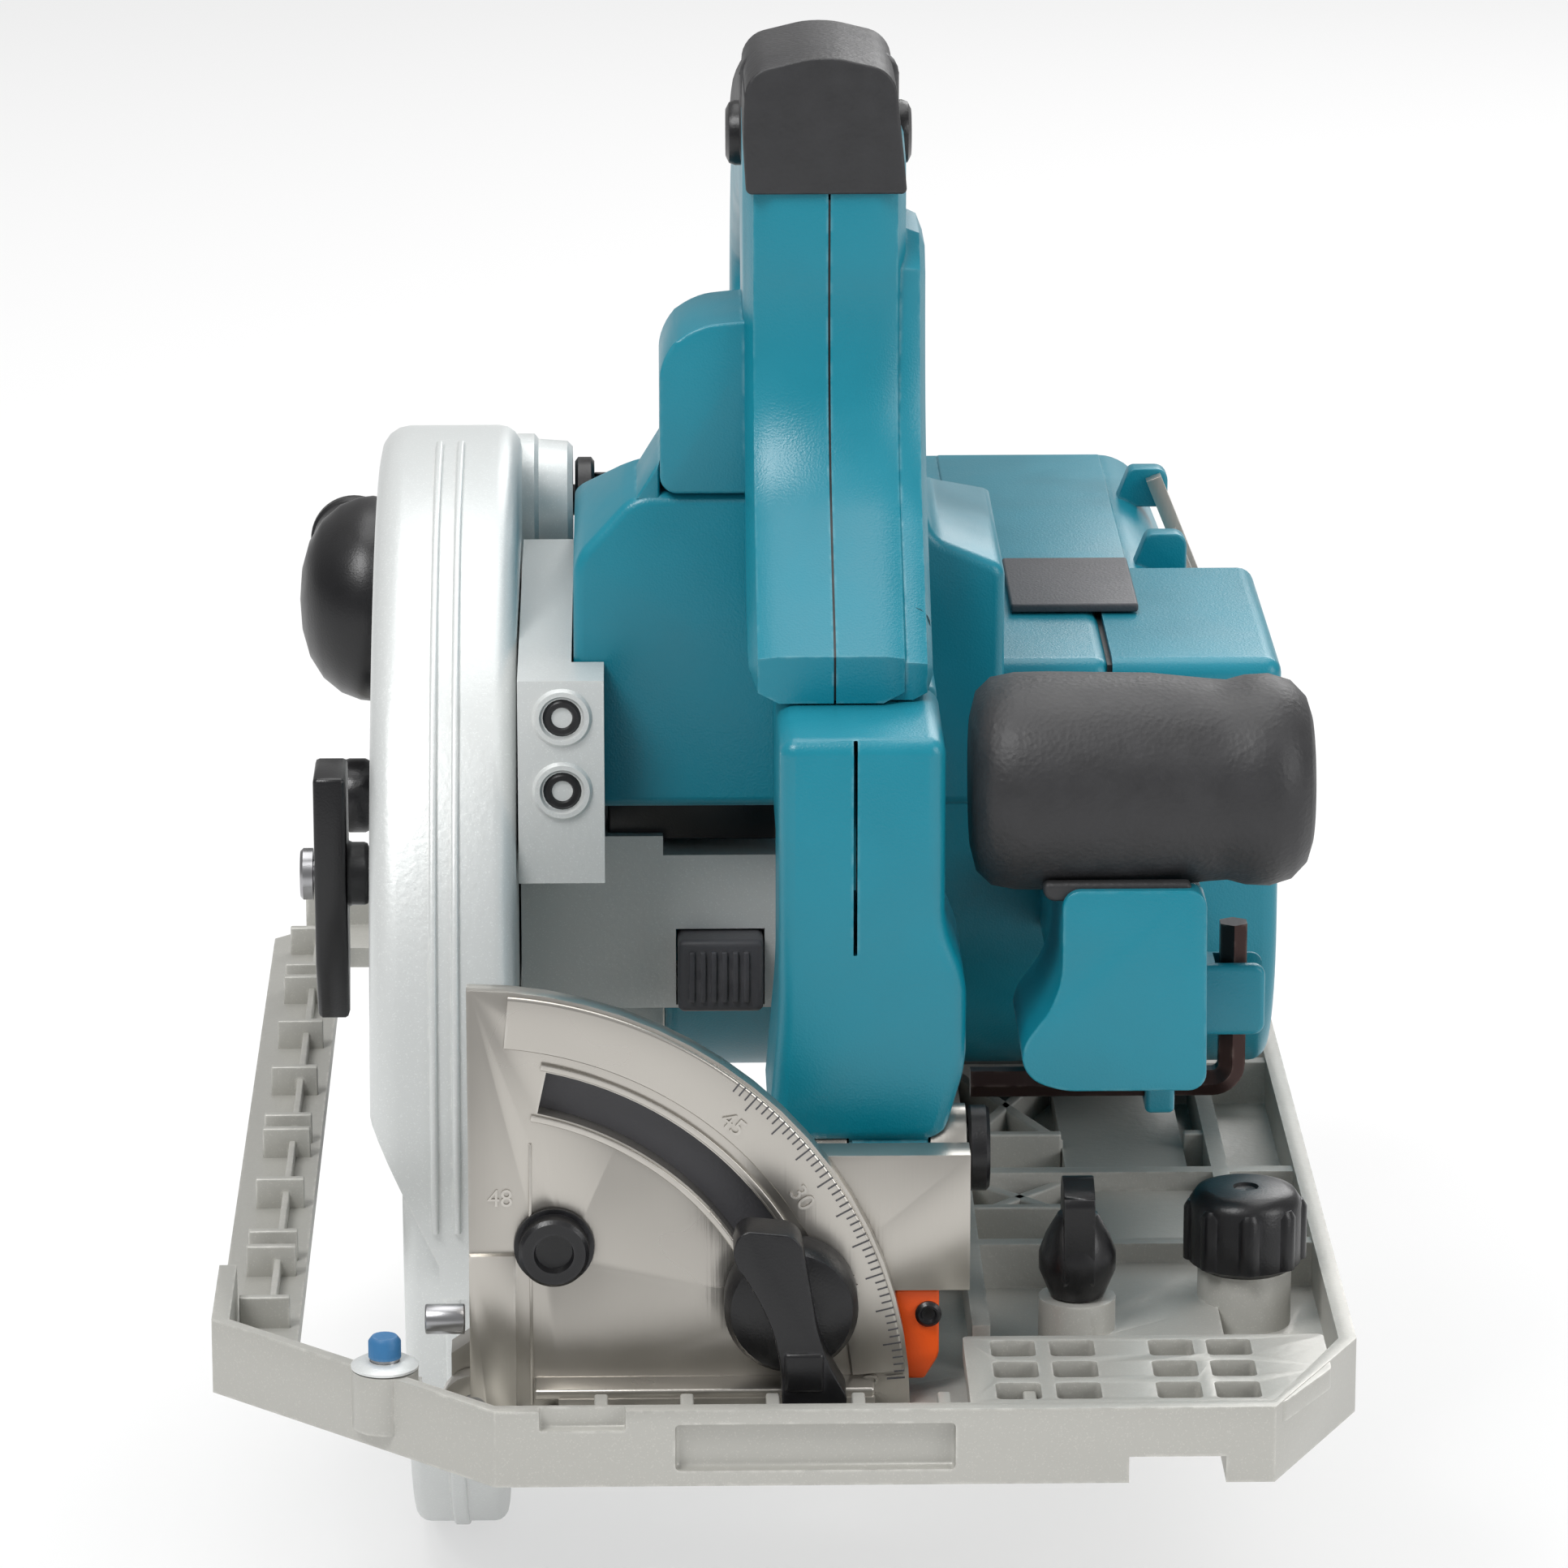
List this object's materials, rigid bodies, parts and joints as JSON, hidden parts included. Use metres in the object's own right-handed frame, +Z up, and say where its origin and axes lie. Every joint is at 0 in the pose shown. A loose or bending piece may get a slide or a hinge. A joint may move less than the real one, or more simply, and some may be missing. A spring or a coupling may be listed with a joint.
{
  "type": "circular saw",
  "caption": "Hand-held battery circular saw with a tilting rail sole, depth and bevel adjustment, swinging lower guard, enclosed handle and a round front grip.",
  "frame": {"origin": "on the sole's flat underside, right of the blade opening, level with the arbor", "axes": "+Z up out of the sole, +X from the blade to the motor, cutting direction -Y"},
  "size_m": [0.1906, 0.31, 0.2873],
  "materials": {
    "teal_plastic": "fine moulded texture, satin",
    "rubber": "coarse matt grain",
    "silver_casting": "satin silver paint",
    "magnesium": "cast and machined, light grey",
    "nickel": "satin nickel",
    "black_plastic": "glossy black",
    "orange_plastic": "satin orange",
    "steel": "bright zinc and ground steel",
    "dark_steel": "dark phosphate finish",
    "copper": "varnished copper windings",
    "grey_plastic": "matt dark grey"
  },
  "bodies": {
    "saw_body": {"blade_case": "silver_casting", "gear_housing": "silver_casting", "bearing_box": "silver_casting", "spindle_bearing_left": "steel", "spindle_bearing_right": "steel", "motor_housing": "teal_plastic", "motor_end_cover": "teal_plastic", "stator": "copper", "motor_bearing_left": "steel", "motor_bearing_right": "steel", "handle_left": "teal_plastic", "handle_right": "teal_plastic", "handle_grip": "rubber", "switch_unit": "grey_plastic", "controller": "grey_plastic", "name_plate": "grey_plastic", "front_column": "teal_plastic", "grip_post": "teal_plastic", "front_grip": "rubber", "battery_holder": "teal_plastic", "terminal_block": "grey_plastic"},
    "blade_set": {"blade": "steel", "outer_flange": "steel", "inner_flange": "steel", "spindle": "steel", "arbor_bolt": "steel", "drive_gear": "steel"},
    "rotor": {"rotor_core": "steel", "motor_shaft": "steel", "pinion": "steel", "cooling_fan": "grey_plastic"},
    "guard": {"lower_guard": "silver_casting", "guard_lever": "black_plastic"},
    "trigger": {"trigger": "black_plastic"},
    "lock_off_button": {"lock_off_button": "black_plastic"},
    "shaft_lock": {"shaft_lock": "black_plastic"},
    "battery": {"battery": "black_plastic"},
    "battery_button": {"battery_button": "grey_plastic"},
    "hanging_hook": {"hanging_hook": "steel"},
    "hex_key": {"hex_key": "dark_steel"},
    "dust_nozzle": {"dust_nozzle": "black_plastic"},
    "port_knob": {"port_knob": "black_plastic"},
    "case_latch": {"case_latch": "black_plastic", "latch_screw": "steel"},
    "depth_lever": {"depth_lever": "black_plastic"},
    "tilt_bracket": {"front_bracket": "nickel", "depth_guide": "nickel", "depth_pivot_bolt": "dark_steel", "bevel_pointer": "orange_plastic", "clamp_stud": "steel"},
    "bevel_lever": {"bevel_clamp_lever": "black_plastic"},
    "base": {"sole_plate": "magnesium", "quadrant": "nickel", "quadrant_bolt": "steel", "stop_peg": "steel", "pivot_pin_front": "steel", "pivot_pin_rear": "steel", "adjust_screw": "steel"},
    "wing_knob": {"wing_knob": "black_plastic"},
    "fluted_knob": {"fluted_knob": "black_plastic"}
  },
  "joints": [
    {"name": "blade_spin", "type": "hinge", "parent": "saw_body", "child": "blade_set", "pos_m": [-0.065, 0, 0.0265], "axis": [1, 0, 0], "continuous": true},
    {"name": "rotor_spin", "type": "hinge", "parent": "saw_body", "child": "rotor", "pos_m": [0, -0.012, 0.05185], "axis": [1, 0, 0], "continuous": true},
    {"name": "guard_swing", "type": "hinge", "parent": "saw_body", "child": "guard", "pos_m": [-0.065, 0, 0.0265], "axis": [1, 0, 0], "range_deg": [0, 120], "stiffness_Nm_per_rad": 0.35, "springref_deg": -34.38},
    {"name": "trigger_pull", "type": "hinge", "parent": "saw_body", "child": "trigger", "pos_m": [0, -0.038, 0.1845], "axis": [1, 0, 0], "range_deg": [0, 7], "stiffness_Nm_per_rad": 2, "springref_deg": -5.73},
    {"name": "lock_off_push", "type": "slide", "parent": "saw_body", "child": "lock_off_button", "axis": [1, 0, 0], "range_m": [-0.0022, 0.0022], "stiffness_N_per_m": 600},
    {"name": "shaft_lock_press", "type": "slide", "parent": "saw_body", "child": "shaft_lock", "axis": [0, 1, 0], "range_m": [0, 0.003], "stiffness_N_per_m": 600, "springref_m": -0.002},
    {"name": "battery_slide", "type": "slide", "parent": "saw_body", "child": "battery", "axis": [0, 1, 0], "range_m": [0, 0.1]},
    {"name": "battery_release", "type": "slide", "parent": "battery", "child": "battery_button", "axis": [0, 0, -1], "range_m": [0, 0.003], "stiffness_N_per_m": 500, "springref_m": -0.001},
    {"name": "hook_swing", "type": "hinge", "parent": "saw_body", "child": "hanging_hook", "pos_m": [0.0668, 0.063, 0.101], "axis": [0, 1, 0], "range_deg": [-120, 0]},
    {"name": "hex_key_pull", "type": "slide", "parent": "saw_body", "child": "hex_key", "axis": [1, 0, 0], "range_m": [0, 0.06]},
    {"name": "nozzle_swivel", "type": "hinge", "parent": "saw_body", "child": "dust_nozzle", "pos_m": [-0.09, 0.06, 0.0855], "axis": [1, 0, 0], "range_deg": [-25, 90]},
    {"name": "port_knob_turn", "type": "hinge", "parent": "saw_body", "child": "port_knob", "pos_m": [-0.045, 0.04, 0.1095], "axis": [1, 0, 0], "continuous": true},
    {"name": "latch_turn", "type": "hinge", "parent": "saw_body", "child": "case_latch", "pos_m": [-0.085, -0.075, 0.0715], "axis": [1, 0, 0], "range_deg": [0, 60]},
    {"name": "depth_lever_turn", "type": "hinge", "parent": "saw_body", "child": "depth_lever", "pos_m": [-0.03, 0.0957, 0.028], "axis": [1, 0, 0], "range_deg": [-60, 0]},
    {"name": "depth_hinge", "type": "hinge", "parent": "saw_body", "child": "tilt_bracket", "pos_m": [0, -0.132, 0.04], "axis": [-1, 0, 0], "range_deg": [0, 20]},
    {"name": "bevel_lever_turn", "type": "hinge", "parent": "tilt_bracket", "child": "bevel_lever", "pos_m": [-0.00876, -0.165, 0.02352], "axis": [0, 1, 0], "range_deg": [-90, 0]},
    {"name": "bevel_tilt", "type": "hinge", "parent": "tilt_bracket", "child": "base", "pos_m": [-0.061, 0, 0.0042], "axis": [0, 1, 0], "range_deg": [0, 48]},
    {"name": "wing_knob_turn", "type": "hinge", "parent": "base", "child": "wing_knob", "pos_m": [0.04, -0.133, 0.02], "axis": [0, 0, 1], "continuous": true},
    {"name": "fluted_knob_turn", "type": "hinge", "parent": "base", "child": "fluted_knob", "pos_m": [0.0694, -0.118, 0.02], "axis": [0, 0, 1], "continuous": true}
  ],
  "couplings": [
    {"joint": "rotor_spin", "follows": "blade_spin", "ratio": -3.6364}
  ]
}
